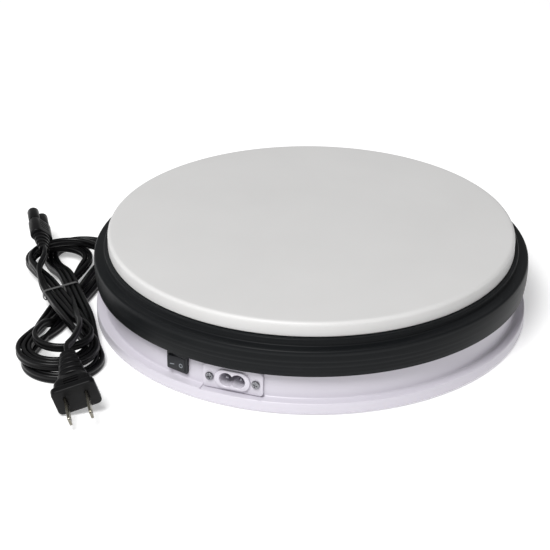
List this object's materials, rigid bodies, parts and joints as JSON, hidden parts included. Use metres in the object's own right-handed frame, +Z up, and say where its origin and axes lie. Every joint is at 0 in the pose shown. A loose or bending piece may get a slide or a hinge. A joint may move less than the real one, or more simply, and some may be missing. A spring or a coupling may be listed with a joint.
{
  "type": "turntable display stand",
  "caption": "Low round motorised display turntable: a white disc on a black skirted tray turns on a white base with a mains inlet and rocker switch, its mains lead tied beside it.",
  "frame": {"origin": "on the turning axis, at the underside of the rubber feet", "axes": "+Z up along the turning axis; the mains inlet faces -Y"},
  "size_m": [0.3398, 0.3266, 0.056],
  "materials": {
    "white_plastic": "glossy moulded plastic, very slightly violet white",
    "disc_white": "satin white disc",
    "black_plastic": "satin black moulded plastic",
    "cord_black": "satin black PVC",
    "switch_black": "semi-gloss black",
    "steel": "zinc-plated or bright steel",
    "brass": "bare or plated brass contacts",
    "bronze": "sintered bronze",
    "nylon": "natural nylon",
    "rubber": "soft rubber",
    "wire_brown": "PVC insulation",
    "wire_blue": "PVC insulation"
  },
  "bodies": {
    "base": {"base_housing": "white_plastic", "bottom_plate": "white_plastic", "bottom_screw_1": "steel", "bottom_screw_2": "steel", "bottom_screw_3": "steel", "bottom_screw_4": "steel", "connector_relief": "cord_black", "cord_connector": "cord_black", "cord_hank": "cord_black", "cord_lead_connector": "cord_black", "cord_lead_plug": "cord_black", "foot_pad_1": "rubber", "foot_pad_2": "rubber", "foot_pad_3": "rubber", "foot_pad_4": "rubber", "inlet_body": "white_plastic", "inlet_pin_1": "steel", "inlet_pin_2": "steel", "inlet_screw_1": "steel", "inlet_screw_2": "steel", "motor_body": "steel", "motor_screw_1": "steel", "motor_screw_2": "steel", "plug_blade_1": "brass", "plug_blade_2": "brass", "plug_body": "cord_black", "plug_relief": "cord_black", "roller_axle_1": "steel", "roller_axle_2": "steel", "roller_axle_3": "steel", "spindle": "steel", "spindle_clip": "steel", "spindle_nut": "steel", "switch_body": "switch_black", "switch_terminal_1": "brass", "switch_terminal_2": "brass", "thrust_washer": "nylon", "twist_tie": "cord_black", "wire_inlet_to_motor": "wire_blue", "wire_inlet_to_switch": "wire_brown", "wire_switch_to_motor": "wire_brown"},
    "turntable": {"drive_gear": "nylon", "gear_screw_1": "steel", "gear_screw_2": "steel", "gear_screw_3": "steel", "gear_screw_4": "steel", "hub_bush": "bronze", "platter": "disc_white", "platter_screw_1": "steel", "platter_screw_2": "steel", "platter_screw_3": "steel", "tray": "black_plastic"},
    "pinion": {"motor_shaft": "steel", "drive_pinion": "nylon"},
    "rocker": {"switch_rocker": "switch_black"},
    "roller_1": {"roller_wheel_1": "nylon"},
    "roller_2": {"roller_wheel_2": "nylon"},
    "roller_3": {"roller_wheel_3": "nylon"}
  },
  "joints": [
    {"name": "turntable_spin", "type": "hinge", "parent": "base", "child": "turntable", "pos_m": [0, 0, 0.0442], "axis": [0, 0, 1], "continuous": true},
    {"name": "pinion_spin", "type": "hinge", "parent": "base", "child": "pinion", "pos_m": [0, 0.057, 0.04], "axis": [0, 0, 1], "continuous": true},
    {"name": "rocker_press", "type": "hinge", "parent": "base", "child": "rocker", "pos_m": [-0.03628, -0.12286, 0.0175], "axis": [0, 0, 1], "range_deg": [-20, 0]},
    {"name": "roller_1_spin", "type": "hinge", "parent": "base", "child": "roller_1", "pos_m": [0.0866, 0.05, 0.0369], "axis": [0.866, 0.5, 0], "continuous": true},
    {"name": "roller_2_spin", "type": "hinge", "parent": "base", "child": "roller_2", "pos_m": [-0.0866, 0.05, 0.0369], "axis": [-0.866, 0.5, 0], "continuous": true},
    {"name": "roller_3_spin", "type": "hinge", "parent": "base", "child": "roller_3", "pos_m": [0, -0.1, 0.0369], "axis": [0, -1, 0], "continuous": true}
  ],
  "couplings": [
    {"joint": "pinion_spin", "follows": "turntable_spin", "ratio": -3.75},
    {"joint": "roller_1_spin", "follows": "turntable_spin", "ratio": -14.286},
    {"joint": "roller_2_spin", "follows": "turntable_spin", "ratio": -14.286},
    {"joint": "roller_3_spin", "follows": "turntable_spin", "ratio": -14.286}
  ]
}
